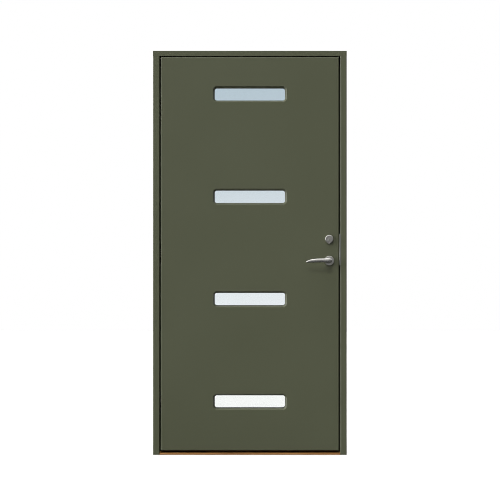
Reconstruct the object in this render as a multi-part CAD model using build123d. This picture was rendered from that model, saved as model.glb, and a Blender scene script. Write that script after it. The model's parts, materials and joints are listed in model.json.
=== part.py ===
from build123d import *
import os
from math import atan2, degrees, hypot

# Outward-opening front door in its frame. Seen from outside: +X right, +Y into the house, +Z up.
# The origin is on the floor, midway across the frame and midway through its depth. Millimetres.

# Frame: two jambs with planted stops, a head laid over them, and an oak threshold between them
frame_width = 1000.0
frame_height = 2085.0
frame_depth = 105.0
jamb_face = 34.0
head_face = 27.5
stop_cover = 20.0
arris_radius = 4.0
ease_radius = 1.5
sill_front_height = 9.5
sill_fall = 3.0
sill_step_height = 38.0
wear_strip_thickness = 2.5
wear_strip_setback = 8.0
fixing_end_distance = 160.0
fixing_inner_spacing = 760.0
sleeve_radius = 7.0
sleeve_bore_radius = 4.5
sleeve_recess = 6.0

# Leaf: two skins on stiles and rails, with an insulating core
leaf_thickness = 62.0
side_gap = 6.5
top_gap = 4.0
leaf_lift = 22.5
skin_thickness = 6.0
hinge_stile_width = 70.0
lock_stile_width = 120.0
top_rail_height = 80.0
bottom_rail_height = 120.0

# Weather seals between the leaf's inner face and the stop
seal_room = 5.0
seal_inset = 11.0
seal_width = 8.0
seal_round = 2.2
seal_root_width = 3.0
seal_root_depth = 5.0
seal_clearance = 0.3
sill_seal_rise = 7.0

# Glazed slots: a splay through skin and bead, and a sealed unit of three panes
slot_count = 4
slot_width = 382.0
slot_height = 82.5
slot_radius = 21.0
lowest_slot_rise = 251.0
highest_slot_drop = 191.5
splay_width = 9.0
bead_depth = 8.0
glass_cover = 12.0
pane_count = 3
unit_clearance = 3.0
pane_thickness = 4.0
spacer_inset = 4.0
spacer_width = 7.0

# Concealed hinges: two crossed arms on a centre pin turn the leaf about a line in the gap
hinge_names = ["bottom", "middle", "top"]
hinge_end_distance = 250.0
pivot_offset = 8.2
pivot_depth = 22.6
arm_width = 11.0
frame_arm_height = 20.0
leaf_arm_height = 30.0
arm_play = 0.4
hinge_pin_radius = 3.0
pin_clearance = 0.08
pocket_lip = 9.5
pocket_clearance = 0.8
pocket_back_room = 1.3
cup_wall = 2.5
cup_end = 8.0
ear_length = 24.0
ear_thickness = 4.0
ear_round = 3.0

# Lock in the lock stile, with its latch and dead bolt
backset = 50.0
handle_height = 1002.0
cylinder_distance = 105.0
case_depth = 82.0
case_thickness = 15.0
case_below_handle = 55.0
case_above_cylinder = 45.0
forend_thickness = 3.0
forend_width = 24.0
forend_overlap = 15.0
bolt_clearance = 0.4
latch_width = 12.0
latch_height = 24.0
latch_reach = 14.0
latch_length = 34.0
latch_above_handle = 24.0
latch_bevel = 9.0
dead_bolt_width = 14.0
dead_bolt_height = 30.0
dead_bolt_throw = 20.0
dead_bolt_length = 44.0
dead_bolt_below_cylinder = 18.0
dead_bolt_setback = 0.5

# Strike plate: a flange on the rebate, a lip over the jamb's face, and a nose in the gap between
strike_height = 160.0
strike_below_handle = 23.0
strike_thickness = 3.5
strike_stand = 3.0
strike_lip = 8.0
strike_nose = 1.8
strike_round = 2.5
strike_depth = 46.0
strike_window_room = 1.5
strike_pocket_room = 3.0

# Levers on round roses, joined by a square spindle
rose_radius = 25.0
rose_height = 9.0
rose_round = 3.0
rose_collar_radius = 15.5
rose_collar_height = 2.0
neck_radius = 10.0
neck_clearance = 0.25
neck_stand = 1.0
lever_reach = 48.0
lever_length = 121.0
lever_height = 26.0
lever_depth = 18.0
spindle_width = 8.0
spindle_clearance = 0.1
spindle_reach = 30.0
spindle_hole_radius = 9.0
follower_hole_radius = 6.5
# Along the lever from its rounded heel to its drooping tip, as shares of its length, height and depth
lever_station_shares = [-0.105, -0.072, 0.0, 0.20, 0.50, 0.72, 0.88, 0.97, 1.0]
lever_height_shares = [0.30, 0.74, 1.0, 0.88, 0.80, 0.72, 0.54, 0.33, 0.17]
lever_depth_shares = [0.30, 0.72, 1.0, 0.84, 0.70, 0.61, 0.51, 0.39, 0.22]
lever_rise_shares = [0.04, 0.04, 0.04, 0.06, 0.04, -0.02, -0.12, -0.22, -0.27]
lever_bow_shares = [-0.02, -0.02, 0.0, 0.04, 0.05, 0.02, -0.04, -0.10, -0.13]

# Lock cylinder: an egg-shaped ring outside, a thumb turn inside
ring_top_radius = 21.5
ring_top_rise = 6.5
ring_tip_radius = 12.0
ring_tip_drop = 7.0
ring_height = 12.0
ring_round = 4.5
ring_wall = 6.0
ring_clearance = 0.3
cylinder_setback = 1.5
cylinder_hole_room = 1.0
plug_radius = 7.5
plug_clearance = 0.08
plug_length = 24.0
plug_stand = 1.5
plug_round = 1.0
key_slot_width = 2.2
key_slot_height = 9.0
key_slot_depth = 12.0
turn_rose_radius = 22.0
turn_rose_height = 8.0
turn_stem_radius = 8.0
turn_stem_clearance = 0.3
turn_stem_stand = 0.3
turn_hole_radius = 10.0
turn_width = 36.0
turn_thickness = 13.0
turn_height = 17.0
turn_round = 4.0

overrun = 2.0

# Places that follow from these sizes
front_y = -frame_depth / 2
back_y = frame_depth / 2
leaf_back_y = front_y + leaf_thickness
leaf_mid_y = front_y + leaf_thickness / 2
stop_y = leaf_back_y + seal_room
core_front_y = front_y + skin_thickness
core_back_y = leaf_back_y - skin_thickness
frame_half = frame_width / 2
opening_half = frame_half - jamb_face
doorway_half = opening_half - stop_cover
opening_top = frame_height - head_face
leaf_half = opening_half - side_gap
leaf_top = opening_top - top_gap
leaf_bottom = leaf_lift
hinge_x = -(opening_half - side_gap / 2)
hinge_heights = [
    leaf_bottom + hinge_end_distance,
    (leaf_bottom + leaf_top) / 2,
    leaf_top - hinge_end_distance,
]
lowest_slot_z = leaf_bottom + lowest_slot_rise
slot_spacing = (leaf_top - highest_slot_drop - lowest_slot_z) / (slot_count - 1)
slot_heights = [lowest_slot_z + i * slot_spacing for i in range(slot_count)]
glass_width = slot_width - 2 * splay_width
glass_height = slot_height - 2 * splay_width
unit_width = glass_width + 2 * glass_cover
unit_height = glass_height + 2 * glass_cover
bay_width = unit_width + 2 * unit_clearance
bay_height = unit_height + 2 * unit_clearance
splay_depth = skin_thickness + bead_depth
unit_depth = leaf_thickness - 2 * splay_depth
pane_gap = (unit_depth - pane_count * pane_thickness) / (pane_count - 1)
handle_x = leaf_half - backset
cylinder_height = handle_height + cylinder_distance
latch_z = handle_height + latch_above_handle
dead_bolt_z = cylinder_height - dead_bolt_below_cylinder
case_bottom = handle_height - case_below_handle
case_top = cylinder_height + case_above_cylinder
forend_x = leaf_half - forend_thickness
strike_bottom = handle_height - strike_below_handle
strike_top = strike_bottom + strike_height
arm_half = arm_width / 2
stack_half = leaf_arm_height / 2 + arm_play + frame_arm_height
sill_seal_z = leaf_bottom + sill_seal_rise


def block(x0, x1, y0, y1, z0, z1):
    return Pos((x0 + x1) / 2, (y0 + y1) / 2, (z0 + z1) / 2) * Box(x1 - x0, y1 - y0, z1 - z0)


def outline(points, rounds):
    # closed outline, with a radius for each numbered corner that is rounded
    face = make_face(Polyline(*points, close=True))
    for index, radius in rounds.items():
        corner = face.vertices().sort_by_distance(Vector(*points[index]))[0]
        face = fillet(corner, radius)
    return face


def along_x(face, x0, x1):
    # a section drawn as (y, z), run from x0 to x1
    return extrude(Plane.YZ.offset(x0) * face, amount=x1 - x0)


def outside_plane(x, z):
    return Plane(origin=(x, front_y, z), x_dir=(1, 0, 0), z_dir=(0, -1, 0))


def inside_plane(x, z):
    return Plane(origin=(x, leaf_back_y, z), x_dir=(-1, 0, 0), z_dir=(0, 1, 0))


# Frame

def make_jamb():
    # the hinge side's jamb
    plan = outline(
        [
            (-frame_half, front_y),
            (-opening_half, front_y),
            (-opening_half, back_y),
            (-frame_half, back_y),
        ],
        {0: arris_radius, 1: arris_radius},
    )
    return extrude(plan, amount=opening_top) - fixing_holes()


def make_stop():
    # planted on the hinge side's jamb, behind the leaf
    plan = outline(
        [
            (-opening_half, stop_y),
            (-doorway_half, stop_y),
            (-doorway_half, back_y),
            (-opening_half, back_y),
        ],
        {1: ease_radius, 2: ease_radius},
    )
    return extrude(plan, amount=opening_top) - [make_frame_seal(), *fixing_holes()]


def fixing_holes():
    # through the hinge side's jamb and its stop
    hole = Cylinder(sleeve_radius, frame_width, rotation=(0, 90, 0))
    return [Pos(-frame_half, fixing_y(), z) * hole for z in fixing_heights()]


def fixing_y():
    return (stop_y + back_y) / 2


def fixing_heights():
    middle = frame_height / 2
    return [
        fixing_end_distance,
        middle - fixing_inner_spacing / 2,
        middle + fixing_inner_spacing / 2,
        frame_height - fixing_end_distance,
    ]


def make_fixing_sleeves():
    length = jamb_face + stop_cover - sleeve_recess
    tube = Circle(sleeve_radius) - Circle(sleeve_bore_radius)
    sleeves = []
    for z in fixing_heights():
        left = Plane(origin=(-frame_half, fixing_y(), z), z_dir=(1, 0, 0))
        right = Plane(origin=(frame_half, fixing_y(), z), z_dir=(-1, 0, 0))
        sleeves += [extrude(left * tube, amount=length), extrude(right * tube, amount=length)]
    return Compound(children=sleeves)


def make_head():
    section = outline(
        [
            (front_y, opening_top),
            (stop_y, opening_top),
            (stop_y, opening_top - stop_cover),
            (back_y, opening_top - stop_cover),
            (back_y, frame_height),
            (front_y, frame_height),
        ],
        {0: ease_radius, 2: ease_radius, 3: ease_radius, 5: ease_radius},
    )
    head = along_x(section, -frame_half, frame_half)
    for side in (-1, 1):
        inner, outer = sorted([side * doorway_half, side * (frame_half + overrun)])
        head -= block(
            inner,
            outer,
            stop_y - overrun,
            back_y + overrun,
            opening_top - stop_cover - overrun,
            opening_top,
        )
    return head - make_frame_seal()


def make_threshold():
    # low weathered front under the leaf, and a step behind it that the leaf closes against
    section = outline(
        [
            (front_y, 0),
            (back_y, 0),
            (back_y, sill_step_height),
            (stop_y, sill_step_height),
            (stop_y, sill_front_height + sill_fall),
            (front_y, sill_front_height),
        ],
        {2: arris_radius, 5: ease_radius},
    )
    sill = along_x(section, -opening_half, opening_half)
    for side in (-1, 1):
        inner, outer = sorted([side * doorway_half, side * (opening_half + overrun)])
        sill -= block(
            inner, outer, stop_y, back_y + overrun, -overrun, sill_step_height + overrun
        )
    return sill - make_threshold_seal()


def make_wear_strip():
    low, high = sill_step_height, sill_step_height + wear_strip_thickness
    section = outline(
        [
            (stop_y, low),
            (back_y - wear_strip_setback, low),
            (back_y - wear_strip_setback, high),
            (stop_y, high),
        ],
        {2: ease_radius, 3: ease_radius},
    )
    return along_x(section, -doorway_half, doorway_half)


def seal_section():
    # (across the stop's face, out towards the leaf): a round-shouldered bulb on a root
    half, root_half, stand = seal_width / 2, seal_root_width / 2, seal_room - seal_clearance
    return outline(
        [
            (-half, 0),
            (-root_half, 0),
            (-root_half, -seal_root_depth),
            (root_half, -seal_root_depth),
            (root_half, 0),
            (half, 0),
            (half, stand),
            (-half, stand),
        ],
        {6: seal_round, 7: seal_round},
    )


def make_frame_seal():
    # one length up the hinge side, under the head and down the lock side, mitred at the corners
    x, top = opening_half - seal_inset, opening_top - seal_inset
    foot = Plane(origin=(-x, stop_y, leaf_bottom), x_dir=(-1, 0, 0), z_dir=(0, 0, 1))
    end = Plane(origin=(-x - seal_width, stop_y, top), x_dir=(0, 0, 1), z_dir=(1, 0, 0))
    mitre = Plane(origin=(-x, stop_y, top), z_dir=(1, 0, 1))
    upright = extrude(foot * seal_section(), amount=top - leaf_bottom + seal_width)
    bar = extrude(end * seal_section(), amount=x + seal_width)
    upright = split(upright, bisect_by=mitre, keep=Keep.BOTTOM)
    half = upright + split(bar, bisect_by=mitre, keep=Keep.TOP)
    return half + mirror(half, about=Plane.YZ)


def make_threshold_seal():
    start = Plane(origin=(-doorway_half, stop_y, sill_seal_z), x_dir=(0, 0, 1), z_dir=(1, 0, 0))
    return extrude(start * seal_section(), amount=2 * doorway_half)


# Concealed hinges, drawn about the line that the leaf turns on: x across the gap, y into the house

def hinge_place(height):
    return Pos(hinge_x, front_y, height)


def cup_reach():
    return pivot_offset + arm_half + pocket_clearance


def cup_back():
    return 2 * pivot_depth + arm_half + pocket_back_room


def cup_blank():
    # outer form of the frame's cup: a box with an ear above and below
    mouth, bottom = -side_gap / 2, -(cup_reach() + cup_wall)
    low, high = pocket_lip - cup_wall, cup_back() + cup_wall
    body_half = stack_half + arm_play + cup_end
    ear_half = body_half + ear_length
    ears = block(mouth - ear_thickness, mouth, low, high, -ear_half, ear_half)
    ears = fillet(ears.edges().filter_by(Axis.X), ear_round)
    return ears + block(bottom, mouth, low, high, -body_half, body_half)


def make_cup():
    pocket_half = stack_half + arm_play
    pin_half = pocket_half + cup_end
    cup = cup_blank()
    cup -= block(
        -cup_reach(), overrun, pocket_lip, cup_back(), -pocket_half, pocket_half
    )
    return cup - Pos(-pivot_offset, pivot_depth) * Cylinder(hinge_pin_radius, 2 * pin_half)


def side_pin():
    return Pos(-pivot_offset, pivot_depth) * Cylinder(hinge_pin_radius, 2 * (stack_half + arm_play + cup_end))


def centre_pin():
    return Pos(0, 2 * pivot_depth) * Cylinder(hinge_pin_radius, 2 * stack_half)


def arm_outline():
    # from the frame's pivot to the centre pin, with round ends
    angle = degrees(atan2(pivot_depth, pivot_offset))
    slot = SlotCenterToCenter(hypot(pivot_offset, pivot_depth), arm_width, rotation=angle)
    return Pos(-pivot_offset / 2, 1.5 * pivot_depth) * slot


def frame_arm():
    # a fork: two cheeks joined by the barrel on the frame's pin
    bare = Circle(arm_half)
    arm = Pos(-pivot_offset, pivot_depth) * extrude(bare, amount=stack_half, both=True)
    inner = leaf_arm_height / 2 + arm_play
    for low in (inner, -stack_half):
        arm += Pos(0, 0, low) * extrude(arm_outline(), amount=frame_arm_height)
    arm -= Pos(-pivot_offset, pivot_depth) * Cylinder(hinge_pin_radius + pin_clearance, 3 * stack_half)
    return arm - Pos(0, 2 * pivot_depth) * Cylinder(hinge_pin_radius, 3 * stack_half)


def leaf_arm():
    # a tongue between the fork's cheeks, with its barrel on the leaf's pin
    bare = Circle(arm_half)
    arm = Pos(-pivot_offset, pivot_depth) * extrude(bare, amount=stack_half, both=True)
    arm += extrude(arm_outline(), amount=leaf_arm_height / 2, both=True)
    for x, y in ((-pivot_offset, pivot_depth), (0, 2 * pivot_depth)):
        arm -= Pos(x, y) * Cylinder(hinge_pin_radius + pin_clearance, 3 * stack_half)
    return mirror(arm, about=Plane.YZ)


def at_hinges(shape):
    return Compound(children=[hinge_place(height) * shape for height in hinge_heights])


# Leaf

def slot_cutter(height):
    # the splayed opening from the outer face down to the glass
    size = RectangleRounded(slot_width, slot_height, slot_radius)
    angle = degrees(atan2(splay_width, splay_depth))
    plane = Plane(origin=(0, front_y, height), x_dir=(1, 0, 0), z_dir=(0, 1, 0))
    return extrude(plane * size, amount=splay_depth, taper=angle)


def through_leaf(shape):
    # the same form on the leaf's inner face
    return mirror(shape, about=Plane.XZ.offset(-leaf_mid_y))


def make_outer_skin():
    skin = block(-leaf_half, leaf_half, front_y, core_front_y, leaf_bottom, leaf_top)
    front_edges = skin.faces().sort_by(Axis.Y)[0].edges()
    skin = fillet(front_edges, arris_radius)
    for height in slot_heights:
        skin -= slot_cutter(height)
    return skin


def lock_holes():
    # what passes through the leaf for the spindle, the cylinder and the thumb turn
    turned = Plane(origin=(handle_x, leaf_mid_y, handle_height), z_dir=(0, 1, 0))
    spindle = extrude(turned * Circle(spindle_hole_radius), amount=leaf_thickness, both=True)
    room = cylinder_hole_room - ring_wall
    egg = extrude(outside_plane(handle_x, cylinder_height) * egg_outline(room), amount=-leaf_thickness / 2)
    turn = inside_plane(handle_x, cylinder_height) * Circle(turn_hole_radius)
    return [spindle, egg, extrude(turn, amount=-leaf_thickness / 2)]


def make_hinge_stile():
    stile = block(
        -leaf_half, -leaf_half + hinge_stile_width, core_front_y, core_back_y, leaf_bottom, leaf_top
    )
    for height in hinge_heights:
        stile -= hinge_place(height) * mirror(cup_blank(), about=Plane.YZ)
    return stile


def make_lock_stile():
    stile = block(
        leaf_half - lock_stile_width, leaf_half, core_front_y, core_back_y, leaf_bottom, leaf_top
    )
    stile -= [case_blank(), forend_blank()]
    return stile - lock_holes()


def make_rail(low, high):
    left, right = -leaf_half + hinge_stile_width, leaf_half - lock_stile_width
    return block(left, right, core_front_y, core_back_y, low, high)


def make_core():
    core = make_rail(leaf_bottom + bottom_rail_height, leaf_top - top_rail_height)
    for height in slot_heights:
        core -= block(
            -bay_width / 2,
            bay_width / 2,
            core_front_y - overrun,
            core_back_y + overrun,
            height - bay_height / 2,
            height + bay_height / 2,
        )
    return core


def make_bead(height):
    bead = block(
        -bay_width / 2,
        bay_width / 2,
        core_front_y,
        front_y + splay_depth,
        height - bay_height / 2,
        height + bay_height / 2,
    )
    return bead - slot_cutter(height)


def unit_plate(width, height, centre, y, thickness):
    return block(
        -width / 2, width / 2, y, y + thickness, centre - height / 2, centre + height / 2
    )


def make_panes(height):
    first, step = front_y + splay_depth, pane_thickness + pane_gap
    panes = []
    for i in range(pane_count):
        panes.append(unit_plate(unit_width, unit_height, height, first + i * step, pane_thickness))
    return Compound(children=panes)


def make_spacers():
    wide, tall = unit_width - 2 * spacer_inset, unit_height - 2 * spacer_inset
    rim = 2 * spacer_width
    spacers = []
    for height in slot_heights:
        for i in range(pane_count - 1):
            y = front_y + splay_depth + pane_thickness + i * (pane_thickness + pane_gap)
            ring = unit_plate(wide, tall, height, y, pane_gap)
            spacers.append(ring - unit_plate(wide - rim, tall - rim, height, y, pane_gap))
    return Compound(children=spacers)


# Lock

def case_blank():
    half = case_thickness / 2
    return block(
        forend_x - case_depth, forend_x, leaf_mid_y - half, leaf_mid_y + half, case_bottom, case_top
    )


def forend_blank():
    half = forend_width / 2
    return block(
        forend_x,
        leaf_half,
        leaf_mid_y - half,
        leaf_mid_y + half,
        case_bottom - forend_overlap,
        case_top + forend_overlap,
    )


def bolt_bar(width, height, z, x0, x1, room):
    half_w, half_h = width / 2 + room, height / 2 + room
    return block(x0, x1, leaf_mid_y - half_w, leaf_mid_y + half_w, z - half_h, z + half_h)


def bolt_channels():
    latch_back = leaf_half - latch_length - bolt_clearance
    dead_back = leaf_half - dead_bolt_setback - dead_bolt_length - bolt_clearance
    end = leaf_half + overrun
    return [
        bolt_bar(latch_width, latch_height, latch_z, latch_back, end, bolt_clearance),
        bolt_bar(dead_bolt_width, dead_bolt_height, dead_bolt_z, dead_back, end, bolt_clearance),
    ]


def make_lock_case():
    case = case_blank() - bolt_channels()
    axis = Plane(origin=(handle_x, leaf_mid_y, handle_height), z_dir=(0, 1, 0))
    return case - extrude(axis * Circle(follower_hole_radius), amount=case_thickness, both=True)


def make_forend():
    forend = forend_blank()
    forend = fillet(forend.edges().filter_by(Axis.X), forend_width / 4)
    return forend - bolt_channels()


def make_latch():
    # square on the outer side, bevelled on the side that meets the strike as the leaf closes
    tip, half = leaf_half + latch_reach, latch_width / 2
    plan = make_face(
        Polyline(
            (tip - latch_length, leaf_mid_y - half),
            (tip, leaf_mid_y - half),
            (tip, leaf_mid_y + half - latch_bevel),
            (leaf_half, leaf_mid_y + half),
            (tip - latch_length, leaf_mid_y + half),
            close=True,
        )
    )
    return Pos(0, 0, latch_z - latch_height / 2) * extrude(plan, amount=latch_height)


def make_dead_bolt():
    tip = leaf_half - dead_bolt_setback
    return bolt_bar(dead_bolt_width, dead_bolt_height, dead_bolt_z, tip - dead_bolt_length, tip, 0)


def strike_blank():
    # in plan: lip over the jamb's face, flange along the rebate, and a nose that meets the latch
    inner = opening_half - strike_stand
    plan = outline(
        [
            (inner - strike_nose, front_y),
            (inner + strike_lip, front_y),
            (inner + strike_lip, front_y + strike_thickness),
            (inner + strike_thickness, front_y + strike_thickness),
            (inner + strike_thickness, front_y + strike_depth),
            (inner, front_y + strike_depth),
            (inner, front_y + 2 * strike_thickness),
            (inner - strike_nose, front_y + strike_thickness),
        ],
        {0: strike_round},
    )
    return Pos(0, 0, strike_bottom) * extrude(plan, amount=strike_height)


def strike_windows():
    start = opening_half - strike_stand - overrun
    end = leaf_half - dead_bolt_setback + dead_bolt_throw + strike_pocket_room
    room = strike_window_room
    return [
        bolt_bar(latch_width, latch_height, latch_z, start, end, room),
        bolt_bar(dead_bolt_width, dead_bolt_height, dead_bolt_z, start, end, room),
    ]


def make_hinge_jamb():
    jamb = make_jamb()
    for height in hinge_heights:
        jamb -= hinge_place(height) * cup_blank()
    return jamb


def make_lock_jamb():
    jamb = mirror(make_jamb(), about=Plane.YZ)
    corner = block(
        opening_half - strike_stand,
        opening_half - strike_stand + strike_lip,
        front_y - overrun,
        front_y + strike_thickness,
        strike_bottom,
        strike_top,
    )
    return jamb - [corner, strike_blank(), *strike_windows()]


# Levers

def make_rose(radius, height, collar_radius, hole_radius):
    # a turned cap with a raised collar, drawn about Z and standing on the leaf
    top = height + rose_collar_height
    half = outline(
        [
            (hole_radius, 0),
            (radius, 0),
            (radius, height),
            (collar_radius, height),
            (collar_radius, top),
            (hole_radius, top),
        ],
        {2: rose_round, 4: rose_collar_height / 2},
    )
    return revolve(Plane.XZ * half, axis=Axis.Z)


def make_lever(way):
    # drawn facing the leaf: the grip runs to one side, the neck stands off the leaf along Z
    sections = []
    for place, tall, deep, rise, bow in zip(
        lever_station_shares, lever_height_shares, lever_depth_shares, lever_rise_shares, lever_bow_shares
    ):
        centre = (way * place * lever_length, rise * lever_height, lever_reach * (1 + bow))
        plane = Plane(origin=centre, x_dir=(0, 1, 0), z_dir=(way, 0, 0))
        sections.append(plane * Ellipse(tall * lever_height / 2, deep * lever_depth / 2))
    neck = extrude(Pos(0, 0, neck_stand) * Circle(neck_radius), amount=lever_reach - neck_stand)
    lever = loft(sections) + neck
    width = spindle_width + 2 * spindle_clearance
    return lever - extrude(Rectangle(width, width), amount=spindle_reach + spindle_clearance)


def make_spindle():
    plane = Plane(origin=(handle_x, leaf_mid_y, handle_height), x_dir=(1, 0, 0), z_dir=(0, 1, 0))
    half = leaf_thickness / 2 + spindle_reach
    return extrude(plane * Rectangle(spindle_width, spindle_width), amount=half, both=True)


# Cylinder and thumb turn

def egg_outline(grow):
    # round above, narrower below
    top = Pos(0, ring_top_rise) * Circle(ring_top_radius + grow)
    tip = Pos(0, -ring_tip_drop) * Circle(ring_tip_radius + grow)
    egg = make_hull([*top.edges(), *tip.edges()]).face()
    return egg if egg.normal_at().Z > 0 else -egg


def make_ring():
    ring = extrude(egg_outline(0), amount=ring_height)
    ring = fillet(ring.faces().sort_by(Axis.Z)[-1].edges(), ring_round)
    return ring - extrude(egg_outline(-ring_wall), amount=ring_height + overrun)


def make_cylinder():
    face = ring_height - cylinder_setback
    back = (leaf_thickness - case_thickness) / 2
    body = Pos(0, 0, -back) * extrude(egg_outline(-ring_wall - ring_clearance), amount=face + back)
    bore = Circle(plug_radius + plug_clearance)
    return body - Pos(0, 0, face - plug_length) * extrude(bore, amount=plug_length + overrun)


def make_plug():
    face = ring_height - cylinder_setback
    plug = Pos(0, 0, face - plug_length) * extrude(Circle(plug_radius), amount=plug_length + plug_stand)
    plug = fillet(plug.faces().sort_by(Axis.Z)[-1].edges(), plug_round)
    slot = Rectangle(key_slot_width, key_slot_height)
    return plug - Pos(0, 0, face + plug_stand) * extrude(slot, amount=-key_slot_depth)


def make_thumb_turn():
    inner = (leaf_thickness - case_thickness) / 2 - turn_stem_stand
    top = turn_rose_height + rose_collar_height
    turn = Pos(0, 0, -inner) * extrude(Circle(turn_stem_radius), amount=inner + top + turn_height / 2)
    grip = Pos(0, 0, top + turn_stem_stand + turn_height / 2) * Box(turn_thickness, turn_width, turn_height)
    grip = fillet(grip.edges().filter_by(Axis.Z), turn_round)
    grip = fillet(grip.faces().sort_by(Axis.Z)[-1].edges(), turn_round / 2)
    return turn + grip


def build():
    handle_out, handle_in = outside_plane(handle_x, handle_height), inside_plane(handle_x, handle_height)
    key_out, key_in = outside_plane(handle_x, cylinder_height), inside_plane(handle_x, cylinder_height)
    lever_rose = make_rose(rose_radius, rose_height, rose_collar_radius, neck_radius + neck_clearance)
    turn_hole = turn_stem_radius + turn_stem_clearance
    turn_rose = make_rose(turn_rose_radius, turn_rose_height, rose_collar_radius, turn_hole)
    outer_skin = make_outer_skin()
    cup = make_cup()
    nodes = {
        "hinge_jamb": make_hinge_jamb(),
        "lock_jamb": make_lock_jamb(),
        "hinge_side_stop": make_stop(),
        "lock_side_stop": mirror(make_stop(), about=Plane.YZ),
        "frame_head": make_head(),
        "oak_threshold": make_threshold(),
        "threshold_wear_strip": make_wear_strip(),
        "frame_seal": make_frame_seal(),
        "threshold_seal": make_threshold_seal(),
        "fixing_sleeves": make_fixing_sleeves(),
        "strike_plate": strike_blank() - strike_windows(),
        "outer_skin": outer_skin - lock_holes(),
        "inner_skin": through_leaf(outer_skin) - lock_holes(),
        "hinge_stile": make_hinge_stile(),
        "lock_stile": make_lock_stile(),
        "top_rail": make_rail(leaf_top - top_rail_height, leaf_top),
        "bottom_rail": make_rail(leaf_bottom, leaf_bottom + bottom_rail_height),
        "insulation_core": make_core(),
        "glass_spacers": make_spacers(),
        "hinge_frame_pins": at_hinges(side_pin()),
        "hinge_leaf_pins": at_hinges(mirror(side_pin(), about=Plane.YZ)),
        "hinge_centre_pins": at_hinges(centre_pin()),
        "lock_case": make_lock_case(),
        "lock_forend": make_forend(),
        "latch_bolt": make_latch(),
        "dead_bolt": make_dead_bolt(),
        "outside_rose": handle_out * lever_rose,
        "inside_rose": handle_in * lever_rose,
        "outside_lever": handle_out * make_lever(-1),
        "inside_lever": handle_in * make_lever(1),
        "handle_spindle": make_spindle(),
        "cylinder_ring": key_out * make_ring(),
        "lock_cylinder": key_out * make_cylinder(),
        "key_plug": key_out * make_plug(),
        "turn_rose": key_in * turn_rose,
        "thumb_turn": key_in * make_thumb_turn(),
    }
    for name, height in zip(hinge_names, hinge_heights):
        place = hinge_place(height)
        nodes[f"hinge_frame_cup_{name}"] = place * cup
        nodes[f"hinge_leaf_cup_{name}"] = place * mirror(cup, about=Plane.YZ)
        nodes[f"hinge_frame_arm_{name}"] = place * frame_arm()
        nodes[f"hinge_leaf_arm_{name}"] = place * leaf_arm()
    for number, height in enumerate(slot_heights, start=1):
        bead = make_bead(height)
        nodes[f"glass_panes_{number}"] = make_panes(height)
        nodes[f"outer_bead_{number}"] = bead
        nodes[f"inner_bead_{number}"] = through_leaf(bead)
    return nodes


os.makedirs("parts", exist_ok=True)
for node, shape in build().items():
    export_step(shape, f"parts/{node}.step")
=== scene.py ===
import json
import math

import bmesh
import bpy
from mathutils import Matrix, Vector


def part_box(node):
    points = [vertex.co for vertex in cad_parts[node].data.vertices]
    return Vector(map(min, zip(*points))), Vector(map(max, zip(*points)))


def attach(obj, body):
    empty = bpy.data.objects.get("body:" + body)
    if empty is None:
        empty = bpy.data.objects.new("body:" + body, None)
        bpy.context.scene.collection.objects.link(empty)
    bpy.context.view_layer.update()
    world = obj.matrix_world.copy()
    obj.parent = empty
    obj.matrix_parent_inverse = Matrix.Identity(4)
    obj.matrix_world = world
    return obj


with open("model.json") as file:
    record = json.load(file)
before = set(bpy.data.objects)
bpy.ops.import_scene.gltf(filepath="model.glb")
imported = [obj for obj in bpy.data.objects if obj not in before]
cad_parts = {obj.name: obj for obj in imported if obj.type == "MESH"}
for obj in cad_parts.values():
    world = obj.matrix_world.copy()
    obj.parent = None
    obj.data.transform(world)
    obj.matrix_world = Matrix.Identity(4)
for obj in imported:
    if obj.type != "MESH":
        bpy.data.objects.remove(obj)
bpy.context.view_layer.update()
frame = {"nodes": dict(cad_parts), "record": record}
nodes = frame["nodes"]
scene = bpy.context.scene
scene.view_settings.view_transform = "Standard"
scene.cycles.filter_width = 0.9  # crisp edges, as in a reduced picture
print("door loaded:", len(nodes), "nodes")

mm = 0.001
pureWhite = (1, 1, 1, 1)
mixShare, mixFirst, mixSecond, mixOut = 0, 6, 7, 2  # sockets of a Mix node set to colour


def toLinear(hexColour):  # the sRGB curve
    linear = []
    for start in (1, 3, 5):
        value = int(hexColour[start:start + 2], 16) / 255
        linear.append(value / 12.92 if value <= 0.04045 else ((value + 0.055) / 1.055) ** 2.4)
    return (*linear, 1.0)


def addNode(tree, kind, settings=None, links=None):
    node = tree.nodes.new(kind)
    for name, value in (settings or {}).items():
        if isinstance(name, int) or name in node.inputs:
            node.inputs[name].default_value = value
        else:
            setattr(node, name, value)
    for name, socket in (links or {}).items():
        tree.links.new(socket, node.inputs[name])
    return node


def newMaterial(name):
    material = bpy.data.materials.new(name)
    material.use_nodes = True
    tree = material.node_tree
    shader = tree.nodes["Principled BSDF"]
    place = addNode(tree, "ShaderNodeTexCoord").outputs["Object"]
    return material, tree, shader, place


def perMetre(sizeMm):  # noise scale that gives features of this size
    return 1.0 / (sizeMm * mm)


def between(first, second):  # settings of a mix from one hex colour to another
    return {"data_type": "RGBA", mixFirst: toLinear(first), mixSecond: toLinear(second)}


# Alkyd paint laid on with a foam roller: an even olive film, satin, with a fine orange-peel stipple
paintLook = {
    "light": "#464937", "deep": "#414432", "patchMm": 420,
    "stippleMm": 2.6,  # really under 1 mm; drawn coarser so that it shows close up
    "stippleBump": 0.22, "stippleDepth": 0.15 * mm,
    "roughness": (0.40, 0.50), "ior": 1.45, "shine": 0.6,
}


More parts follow.
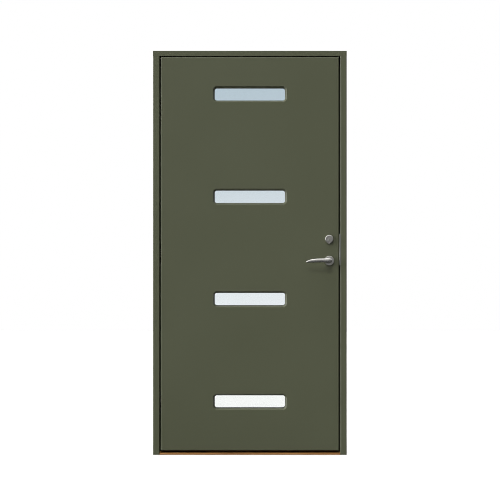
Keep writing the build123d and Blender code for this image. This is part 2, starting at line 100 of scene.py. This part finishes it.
def satinPaint(look):
    material, tree, shader, place = newMaterial("satinPaint")
    patches = addNode(tree, "ShaderNodeTexNoise",
                      {"Scale": perMetre(look["patchMm"]), "Detail": 3.0}, {"Vector": place})
    tint = addNode(tree, "ShaderNodeMix", between(look["deep"], look["light"]),
                   {mixShare: patches.outputs["Fac"]})
    stipple = addNode(tree, "ShaderNodeTexNoise",
                      {"Scale": perMetre(look["stippleMm"]), "Detail": 2.0}, {"Vector": place})
    low, high = look["roughness"]
    sheen = addNode(tree, "ShaderNodeMapRange", {"To Min": low, "To Max": high},
                    {"Value": patches.outputs["Fac"]})
    bump = addNode(tree, "ShaderNodeBump",
                   {"Strength": look["stippleBump"], "Distance": look["stippleDepth"]},
                   {"Height": stipple.outputs["Fac"]})
    shader.inputs["IOR"].default_value = look["ior"]
    shader.inputs["Specular IOR Level"].default_value = look["shine"]
    tree.links.new(tint.outputs[mixOut], shader.inputs["Base Color"])
    tree.links.new(sheen.outputs["Result"], shader.inputs["Roughness"])
    tree.links.new(bump.outputs["Normal"], shader.inputs["Normal"])
    return material


# Oiled oak: long grain along the board with darker late wood and short open pores
oakLook = {
    "early": "#946B38", "late": "#6B441B", "pore": "#503211",
    "ringMm": 5.0, "runMm": 260, "ringWaver": 0.6, "ringRange": (0.35, 0.68),
    "poreMm": (0.7, 14), "poreRange": (0.60, 0.72), "poreBump": 0.35, "poreDepth": 0.2 * mm,
    "roughness": (0.42, 0.60),
}


def oiledOak(look):
    material, tree, shader, place = newMaterial("oiledOak")
    along = perMetre(look["runMm"]) / perMetre(look["ringMm"])
    stretched = addNode(tree, "ShaderNodeMapping", {"Scale": (along, 1.0, 1.0)},
                        {"Vector": place})
    rings = addNode(tree, "ShaderNodeTexNoise",
                    {"Scale": perMetre(look["ringMm"]), "Detail": 4.0,
                     "Distortion": look["ringWaver"]},
                    {"Vector": stretched.outputs["Vector"]})
    wide, long = look["poreMm"]
    poreMap = addNode(tree, "ShaderNodeMapping", {"Scale": (wide / long, 1.0, 1.0)},
                      {"Vector": place})
    pores = addNode(tree, "ShaderNodeTexNoise", {"Scale": perMetre(wide), "Detail": 1.0},
                    {"Vector": poreMap.outputs["Vector"]})
    low, high = look["poreRange"]
    poreMask = addNode(tree, "ShaderNodeMapRange", {"From Min": low, "From Max": high},
                       {"Value": pores.outputs["Fac"]})
    low, high = look["ringRange"]
    grain = addNode(tree, "ShaderNodeMapRange", {"From Min": low, "From Max": high},
                    {"Value": rings.outputs["Fac"]})
    wood = addNode(tree, "ShaderNodeMix", between(look["early"], look["late"]),
                   {mixShare: grain.outputs["Result"]})
    colour = addNode(tree, "ShaderNodeMix",
                     {"data_type": "RGBA", mixSecond: toLinear(look["pore"])},
                     {mixShare: poreMask.outputs["Result"], mixFirst: wood.outputs[mixOut]})
    bump = addNode(tree, "ShaderNodeBump",
                   {"Strength": look["poreBump"], "Distance": look["poreDepth"], "invert": True},
                   {"Height": poreMask.outputs["Result"]})
    low, high = look["roughness"]
    sheen = addNode(tree, "ShaderNodeMapRange", {"To Min": low, "To Max": high},
                    {"Value": rings.outputs["Fac"]})
    tree.links.new(colour.outputs[mixOut], shader.inputs["Base Color"])
    tree.links.new(sheen.outputs["Result"], shader.inputs["Roughness"])
    tree.links.new(bump.outputs["Normal"], shader.inputs["Normal"])
    return material


# Metals: one finish each, with fine marks left by how the surface was made
metalLooks = {
    # stainless steel, brushed along the lever: soft streaks that spread the highlights
    "brushedStainless": {"colour": "#C9C8C4", "roughness": (0.21, 0.30),
                         "markMm": (60, 0.5, 0.5), "depth": 0.03},
    # stainless steel, turned and bead blasted: an even satin
    "blastedStainless": {"colour": "#C4C3BF", "roughness": (0.26, 0.36),
                         "markMm": (0.8, 0.8, 0.8), "depth": 0.05},
    # nickel-plated brass of the lock cylinder: a little darker and warmer
    "platedNickel": {"colour": "#BDBCB7", "roughness": (0.28, 0.40),
                     "markMm": (1.2, 1.2, 6.0), "depth": 0.04},
    # zinc-plated sheet: grey with cloudy patches
    "platedZinc": {"colour": "#8E908A", "roughness": (0.36, 0.52),
                   "markMm": (9.0, 9.0, 9.0), "depth": 0.03},
    # die-cast zinc of the hinges: slightly grainy
    "castZinc": {"colour": "#A3A4A2", "roughness": (0.38, 0.50),
                 "markMm": (1.5, 1.5, 1.5), "depth": 0.08},
    # ground steel pins and bolts: bright, with fine rings
    "groundSteel": {"colour": "#C6C6C4", "roughness": (0.16, 0.26),
                    "markMm": (8.0, 8.0, 0.4), "depth": 0.03},
    # anodised aluminium, drawn along the strip
    "anodisedAluminium": {"colour": "#B4B4B2", "roughness": (0.30, 0.40),
                          "markMm": (80, 0.6, 0.6), "depth": 0.04},
}
metalMarks = {"range": (0.3, 0.7), "height": 0.1 * mm}  # the same on all metals


def metal(name, look):
    material, tree, shader, place = newMaterial(name)
    finest = min(look["markMm"])
    squeeze = tuple(finest / size for size in look["markMm"])
    drawn = addNode(tree, "ShaderNodeMapping", {"Scale": squeeze}, {"Vector": place})
    marks = addNode(tree, "ShaderNodeTexNoise", {"Scale": perMetre(finest), "Detail": 3.0},
                    {"Vector": drawn.outputs["Vector"]})
    start, end = metalMarks["range"]
    low, high = look["roughness"]
    sheen = addNode(tree, "ShaderNodeMapRange",
                    {"From Min": start, "From Max": end, "To Min": low, "To Max": high},
                    {"Value": marks.outputs["Fac"]})
    bump = addNode(tree, "ShaderNodeBump",
                   {"Strength": look["depth"], "Distance": metalMarks["height"]},
                   {"Height": marks.outputs["Fac"]})
    shader.inputs["Metallic"].default_value = 1.0
    shader.inputs["Base Color"].default_value = toLinear(look["colour"])
    tree.links.new(sheen.outputs["Result"], shader.inputs["Roughness"])
    tree.links.new(bump.outputs["Normal"], shader.inputs["Normal"])
    return material


# Extruded rubber, foam and warm-edge spacer: matt, with a faint mottle
dullLooks = {
    "sealRubber": {"light": "#242523", "deep": "#161715", "mottleMm": 3.0, "roughness": 0.62},
    "rigidFoam": {"light": "#D8D2BE", "deep": "#C4BCA4", "mottleMm": 2.0, "roughness": 0.9},
    "spacerPlastic": {"light": "#4A4B4B", "deep": "#3E3F3F", "mottleMm": 4.0, "roughness": 0.55},
    "gasketRubber": {"light": "#20211F", "deep": "#161715", "mottleMm": 2.0, "roughness": 0.6},
}
dullMottle = {"bump": 0.15, "height": 0.2 * mm}  # the same on all of them


def dull(name, look):
    material, tree, shader, place = newMaterial(name)
    mottle = addNode(tree, "ShaderNodeTexNoise",
                     {"Scale": perMetre(look["mottleMm"]), "Detail": 4.0}, {"Vector": place})
    tint = addNode(tree, "ShaderNodeMix", between(look["deep"], look["light"]),
                   {mixShare: mottle.outputs["Fac"]})
    bump = addNode(tree, "ShaderNodeBump",
                   {"Strength": dullMottle["bump"], "Distance": dullMottle["height"]},
                   {"Height": mottle.outputs["Fac"]})
    shader.inputs["Roughness"].default_value = look["roughness"]
    tree.links.new(tint.outputs[mixOut], shader.inputs["Base Color"])
    tree.links.new(bump.outputs["Normal"], shader.inputs["Normal"])
    return material


# Float glass: clear, faintly cool, with a slow roller wave
glassLook = {"tint": "#FCFDFD", "ior": 1.45, "roughness": 0.0,
             "waveMm": 180, "waveBump": 0.02, "waveHeight": 0.1 * mm}


def floatGlass(look):
    material, tree, shader, place = newMaterial("floatGlass")
    wave = addNode(tree, "ShaderNodeTexNoise",
                   {"Scale": perMetre(look["waveMm"]), "Detail": 1.0}, {"Vector": place})
    bump = addNode(tree, "ShaderNodeBump",
                   {"Strength": look["waveBump"], "Distance": look["waveHeight"]},
                   {"Height": wave.outputs["Fac"]})
    shader.inputs["Base Color"].default_value = toLinear(look["tint"])
    shader.inputs["Roughness"].default_value = look["roughness"]
    shader.inputs["IOR"].default_value = look["ior"]
    shader.inputs["Transmission Weight"].default_value = 1.0
    tree.links.new(bump.outputs["Normal"], shader.inputs["Normal"])
    return material


finishes = {name: metal(name, look) for name, look in metalLooks.items()}
finishes.update({name: dull(name, look) for name, look in dullLooks.items()})
finishes["satinPaint"] = satinPaint(paintLook)
finishes["oiledOak"] = oiledOak(oakLook)
finishes["floatGlass"] = floatGlass(glassLook)

finishOfSlot = {
    "painted_timber": "satinPaint",
    "painted_board": "satinPaint",
    "oiled_oak": "oiledOak",
    "aluminium_strip": "anodisedAluminium",
    "seal_rubber": "sealRubber",
    "zinc_steel": "platedZinc",
    "bolt_steel": "groundSteel",
    "hinge_casting": "castZinc",
    "pin_steel": "groundSteel",
    "foam": "rigidFoam",
    "glass": "floatGlass",
    "spacer": "spacerPlastic",
    "satin_steel": "blastedStainless",
    "cylinder_nickel": "platedNickel",
}
finishOfNode = {"outside_lever": "brushedStainless", "inside_lever": "brushedStainless"}

for subpart in frame["record"]["subparts"]:
    node = nodes[subpart["node"]]
    finish = finishOfNode.get(subpart["node"], finishOfSlot[subpart["material_slot"]])
    node.data.materials.clear()
    node.data.materials.append(finishes[finish])
print("finishes laid on:", len(finishes))


def addPiece(name, mesh, body, finish):
    data = bpy.data.meshes.new(name)
    mesh.to_mesh(data)
    mesh.free()
    data.materials.append(finishes[finish])
    piece = bpy.data.objects.new(name, data)
    scene.collection.objects.link(piece)
    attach(piece, body)


def joinInto(whole, part, place):
    bmesh.ops.transform(part, matrix=place, verts=part.verts)
    bmesh.ops.recalc_face_normals(part, faces=part.faces)
    data = bpy.data.meshes.new("joining")
    part.to_mesh(data)
    part.free()
    whole.from_mesh(data)
    bpy.data.meshes.remove(data)


def newest(geometry, kind):  # what an extrusion made, of one kind
    return [part for part in geometry["geom"] if isinstance(part, kind)]


# Countersunk screws: a shallow head with a six-lobed recess
screwLook = {
    "radius": 4.2 * mm, "sides": 24, "stand": 0.5 * mm, "edge": 0.25 * mm,
    "recess": 2.0 * mm, "recessDepth": 0.4 * mm, "lobe": 0.74,
    "hingeInset": 12 * mm, "hingeShares": (0.27, 0.73),  # from a cup's ends, and across it
    "forendInset": 8 * mm, "strikeInset": 12 * mm, "strikeNose": 1.8 * mm,
}


def screwHead(look):
    mesh = bmesh.new()
    bmesh.ops.create_circle(mesh, cap_ends=True, radius=look["radius"], segments=look["sides"])
    raised = bmesh.ops.extrude_face_region(mesh, geom=mesh.faces[:])
    top = newest(raised, bmesh.types.BMFace)[0]
    bmesh.ops.translate(mesh, vec=(0, 0, look["stand"]), verts=top.verts)
    bmesh.ops.recalc_face_normals(mesh, faces=mesh.faces)
    bmesh.ops.inset_region(mesh, faces=[top], thickness=look["edge"], depth=look["edge"] / 2,
                           use_even_offset=True)
    bmesh.ops.inset_region(mesh, faces=[top], use_even_offset=True,
                           thickness=look["radius"] - look["edge"] - look["recess"])
    centre = top.calc_center_median()
    for index, vert in enumerate(top.verts):
        if index % 4 < 2:  # every other pair drawn in makes the lobes
            vert.co = centre.lerp(vert.co, look["lobe"])
    sunk = bmesh.ops.extrude_face_region(mesh, geom=[top])
    bottom = newest(sunk, bmesh.types.BMFace)[0]
    bmesh.ops.translate(mesh, vec=(0, 0, -look["recessDepth"]), verts=bottom.verts)
    bmesh.ops.delete(mesh, geom=[top], context="FACES_ONLY")  # opens the recess
    return mesh


def facing(point, way):
    turn = Vector(way).to_track_quat("Z", "Y").to_matrix().to_4x4()
    return Matrix.Translation(point) @ turn


def screwRow(name, places, body):
    mesh = bmesh.new()
    for point, way in places:
        joinInto(mesh, screwHead(screwLook), facing(point, way))
    addPiece(name, mesh, body, "groundSteel")


def nearEnds(low, high, inset):
    return low.z + inset, high.z - inset


for side, way in (("frame", 1), ("leaf", -1)):
    places = []
    for hinge in ("bottom", "middle", "top"):
        low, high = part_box(f"hinge_{side}_cup_{hinge}")
        mouth = high.x if way > 0 else low.x
        for z in nearEnds(low, high, screwLook["hingeInset"]):
            for share in screwLook["hingeShares"]:
                places.append(((mouth, low.y + share * (high.y - low.y), z), (way, 0, 0)))
    screwRow(f"hingeScrews_{side}", places, side)

low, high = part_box("lock_forend")
middle = (low.y + high.y) / 2
places = [((high.x, middle, z), (1, 0, 0)) for z in nearEnds(low, high, screwLook["forendInset"])]
screwRow("forendScrews", places, "leaf")

low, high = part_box("strike_plate")
flange = low.x + screwLook["strikeNose"]  # behind the strike's nose
places = [((flange, middle, z), (-1, 0, 0)) for z in nearEnds(low, high, screwLook["strikeInset"])]
screwRow("strikeScrews", places, "frame")
print("screws set")


# Glazing gaskets: a thin bead of rubber in the corner between splay and glass, on both faces
gasketLook = {
    "slots": 4, "size": (367 * mm, 67.5 * mm), "cornerRadius": 13.5 * mm, "cornerSteps": 8,
    "width": 1.5 * mm, "height": 1.0 * mm, "edge": 0.3 * mm, "edgeSteps": 2,
}


def gasketRing(look):
    mesh = bmesh.new()
    corners = bmesh.ops.create_grid(mesh, x_segments=1, y_segments=1, size=0.5)["verts"]
    bmesh.ops.scale(mesh, vec=(*look["size"], 1), verts=corners)
    bmesh.ops.bevel(mesh, geom=corners, offset=look["cornerRadius"], offset_type="OFFSET",
                    affect="VERTICES", segments=look["cornerSteps"], profile=0.5, material=-1)
    pane = mesh.faces[:][0]
    ring = bmesh.ops.inset_region(mesh, faces=[pane], thickness=look["width"],
                                  use_boundary=True, use_even_offset=True)["faces"]
    mesh.faces.remove(pane)
    raised = bmesh.ops.extrude_face_region(mesh, geom=ring)
    top = newest(raised, bmesh.types.BMVert)
    bmesh.ops.translate(mesh, vec=(0, 0, look["height"]), verts=top)
    bmesh.ops.recalc_face_normals(mesh, faces=mesh.faces)
    rims = []
    for edge in newest(raised, bmesh.types.BMEdge):
        facesUp = {face.normal.z > 0.5 for face in edge.link_faces}
        if len(facesUp) > 1:  # between the top and a side
            rims.append(edge)
    bmesh.ops.bevel(mesh, geom=rims, offset=look["edge"], offset_type="OFFSET",
                    affect="EDGES", segments=look["edgeSteps"], profile=0.5, material=-1)
    return mesh


mesh = bmesh.new()
for number in range(1, gasketLook["slots"] + 1):
    low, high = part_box(f"glass_panes_{number}")
    for y, turn in ((low.y, 90), (high.y, -90)):  # outside, then inside
        place = Matrix.Translation((0, y, (low.z + high.z) / 2))
        place = place @ Matrix.Rotation(math.radians(turn), 4, "X")
        joinInto(mesh, gasketRing(gasketLook), place)
addPiece("glazingGaskets", mesh, "leaf", "gasketRubber")
print("gaskets laid")


# Raised ribs along the threshold's wear strip
ribLook = {"count": 5, "width": 2.4 * mm, "height": 0.6 * mm, "endGap": 3 * mm,
           "edge": 0.4 * mm, "edgeSteps": 3}
low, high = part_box("threshold_wear_strip")
mesh = bmesh.new()
for index in range(ribLook["count"]):
    y = low.y + (index + 1) * (high.y - low.y) / (ribLook["count"] + 1)
    rib = bmesh.ops.create_cube(mesh, size=1)["verts"]
    size = (high.x - low.x - 2 * ribLook["endGap"], ribLook["width"], ribLook["height"])
    bmesh.ops.scale(mesh, vec=size, verts=rib)
    centre = ((low.x + high.x) / 2, y, high.z + ribLook["height"] / 2)
    bmesh.ops.translate(mesh, vec=centre, verts=rib)
edges = []
for edge in mesh.edges:
    start, end = (vert.co for vert in edge.verts)
    runsAlong = abs(start.x - end.x) > ribLook["width"]
    if runsAlong and start.z > high.z + ribLook["height"] / 2:  # the top arrises
        edges.append(edge)
bmesh.ops.bevel(mesh, geom=edges, offset=ribLook["edge"], offset_type="OFFSET",
                affect="EDGES", segments=ribLook["edgeSteps"], profile=0.5, material=-1)
addPiece("wearStripRibs", mesh, "frame", "anodisedAluminium")
print("ribs laid")


# Studio: white behind the door, and a pale floor that keeps the shadow
floorLook = {
    "size": 24.0, "roughness": 0.9, "colour": "#7A7A77", "mirrorColour": "#1E1E1E",
    "seenColour": "#8C8C8A", "glow": 0.50,  # to the camera it is nearly white
    "paneShare": 0.72,  # and a little less so through the panes
}


def paleFloor(look):
    material = bpy.data.materials.new("paleFloor")
    material.use_nodes = True
    tree = material.node_tree
    shader = tree.nodes["Principled BSDF"]
    shader.inputs["Roughness"].default_value = look["roughness"]
    shader.inputs["Emission Color"].default_value = pureWhite
    rays = addNode(tree, "ShaderNodeLightPath")
    seen = addNode(tree, "ShaderNodeMath", {"operation": "MULTIPLY_ADD", 1: look["paneShare"]},
                   {0: rays.outputs["Is Transmission Ray"], 2: rays.outputs["Is Camera Ray"]})
    lit = addNode(tree, "ShaderNodeMix", between(look["colour"], look["mirrorColour"]),
                  {mixShare: rays.outputs["Is Glossy Ray"]})
    colour = addNode(tree, "ShaderNodeMix",
                     {"data_type": "RGBA", mixSecond: toLinear(look["seenColour"])},
                     {mixShare: seen.outputs[0], mixFirst: lit.outputs[mixOut]})
    glow = addNode(tree, "ShaderNodeMath", {"operation": "MULTIPLY", 1: look["glow"]},
                   {0: seen.outputs[0]})
    tree.links.new(colour.outputs[mixOut], shader.inputs["Base Color"])
    tree.links.new(glow.outputs[0], shader.inputs["Emission Strength"])
    return material


mesh = bmesh.new()
bmesh.ops.create_grid(mesh, x_segments=1, y_segments=1, size=floorLook["size"] / 2)
data = bpy.data.meshes.new("floor")
mesh.to_mesh(data)
mesh.free()
data.materials.append(paleFloor(floorLook))
floor = bpy.data.objects.new("floor", data)
scene.collection.objects.link(floor)

# Soft light from the left, from above and from behind, over a faint fill
worldLook = {
    "base": 0.03, "focus": 30.0,  # light on the door
    "mirrorLow": 0.03, "mirrorLevel": 0.40, "mirrorRange": (-0.35, 0.05),  # what metal shows
    "mirrorUp": (-0.45, 0.0, 0.89),  # it is brightest above and to the left
    "mirrorBehind": 0.5, "behindRange": (-0.1, 0.2), "mirrorFocus": 6.0,
    "lowSky": "#FFFFFF", "highSky": "#BAC9D3", "skyRise": 0.10,  # what shows through the panes
    "through": 1.04,
}
softboxes = [
    {"from": (-0.96, -0.15, 0.24), "light": 38.0, "mirror": 1.3},  # beside the door, to the left
    {"from": (-0.10, -0.22, 0.97), "light": 17.0, "mirror": 1.8},  # above it
    {"from": (0.55, 0.62, 0.56), "light": 24.0, "mirror": 0.5},  # behind it, to the right
]
world = bpy.data.worlds.new("studio")
scene.world = world
world.use_nodes = True
tree = world.node_tree
tree.nodes.clear()
rays = addNode(tree, "ShaderNodeLightPath")
direction = addNode(tree, "ShaderNodeTexCoord").outputs["Generated"]
axes = addNode(tree, "ShaderNodeSeparateXYZ", {}, {0: direction})


def lightOf(boxes, share, focus, start):
    total = start
    for box in boxes:
        towards = addNode(tree, "ShaderNodeVectorMath",
                          {"operation": "DOT_PRODUCT", 1: box["from"]}, {0: direction})
        ahead = addNode(tree, "ShaderNodeMath", {"operation": "MAXIMUM", 1: 0.0},
                        {0: towards.outputs["Value"]})
        lobe = addNode(tree, "ShaderNodeMath", {"operation": "POWER", 1: focus},
                       {0: ahead.outputs[0]})
        total = addNode(tree, "ShaderNodeMath", {"operation": "MULTIPLY_ADD", 1: box[share]},
                        {0: lobe.outputs[0], 2: total}).outputs[0]
    return total


base = addNode(tree, "ShaderNodeValue").outputs[0]
base.default_value = worldLook["base"]
fill = addNode(tree, "ShaderNodeBackground", {"Color": pureWhite},
               {"Strength": lightOf(softboxes, "light", worldLook["focus"], base)})
upward = addNode(tree, "ShaderNodeVectorMath",
                 {"operation": "DOT_PRODUCT", 1: worldLook["mirrorUp"]}, {0: direction})
start, end = worldLook["mirrorRange"]
level = addNode(tree, "ShaderNodeMapRange",
                {"From Min": start, "From Max": end,
                 "To Min": worldLook["mirrorLow"], "To Max": worldLook["mirrorLevel"]},
                {"Value": upward.outputs["Value"]})
start, end = worldLook["behindRange"]
behind = addNode(tree, "ShaderNodeMapRange",
                 {"From Min": start, "From Max": end, "To Max": worldLook["mirrorBehind"]},
                 {"Value": axes.outputs["Y"]})
around = addNode(tree, "ShaderNodeMath", {"operation": "ADD"},
                 {0: level.outputs["Result"], 1: behind.outputs["Result"]})
mirrorLight = lightOf(softboxes, "mirror", worldLook["mirrorFocus"], around.outputs[0])
mirrored = addNode(tree, "ShaderNodeBackground", {"Color": pureWhite}, {"Strength": mirrorLight})
rise = addNode(tree, "ShaderNodeMapRange",
               {"From Min": -worldLook["skyRise"], "From Max": worldLook["skyRise"]},
               {"Value": axes.outputs["Z"]})
sky = addNode(tree, "ShaderNodeMix", between(worldLook["lowSky"], worldLook["highSky"]),
              {mixShare: rise.outputs["Result"]})
through = addNode(tree, "ShaderNodeBackground", {"Strength": worldLook["through"]},
                  {"Color": sky.outputs[mixOut]})
white = addNode(tree, "ShaderNodeBackground", {"Color": pureWhite, "Strength": 1.0})
shown = fill
for ray, light in (("Glossy", mirrored), ("Transmission", through), ("Camera", white)):
    shown = addNode(tree, "ShaderNodeMixShader", {},
                    {0: rays.outputs[f"Is {ray} Ray"], 1: shown.outputs[0], 2: light.outputs[0]})
addNode(tree, "ShaderNodeOutputWorld", {}, {"Surface": shown.outputs[0]})

# A high lamp in front: the lever's shadow falls as far below it as it stands off
keyLook = {"from": (-0.14, -1.0, 1.05), "strength": 1.5, "spread": 16}
key = bpy.data.lights.new("keyLamp", "SUN")
key.energy = keyLook["strength"]
key.angle = math.radians(keyLook["spread"])
holder = bpy.data.objects.new("keyLamp", key)
holder.matrix_world = facing((0, 0, 0), keyLook["from"])
holder.visible_glossy = False  # the softboxes make the highlights
scene.collection.objects.link(holder)

cameraLook = {"aim": (0.8 * mm, -52.5 * mm, 1057 * mm), "distance": 8.0, "field": 2580 * mm,
              "sensor": 36.0, "clipEnd": 200}
camera = bpy.data.cameras.new("camera")
camera.sensor_width = cameraLook["sensor"]
camera.lens = camera.sensor_width * cameraLook["distance"] / cameraLook["field"]
camera.clip_end = cameraLook["clipEnd"]
eye = bpy.data.objects.new("camera", camera)
stand = Vector(cameraLook["aim"]) - Vector((0, cameraLook["distance"], 0))
eye.matrix_world = Matrix.Translation(stand) @ Matrix.Rotation(math.radians(90), 4, "X")
scene.collection.objects.link(eye)
scene.camera = eye
print("studio set")
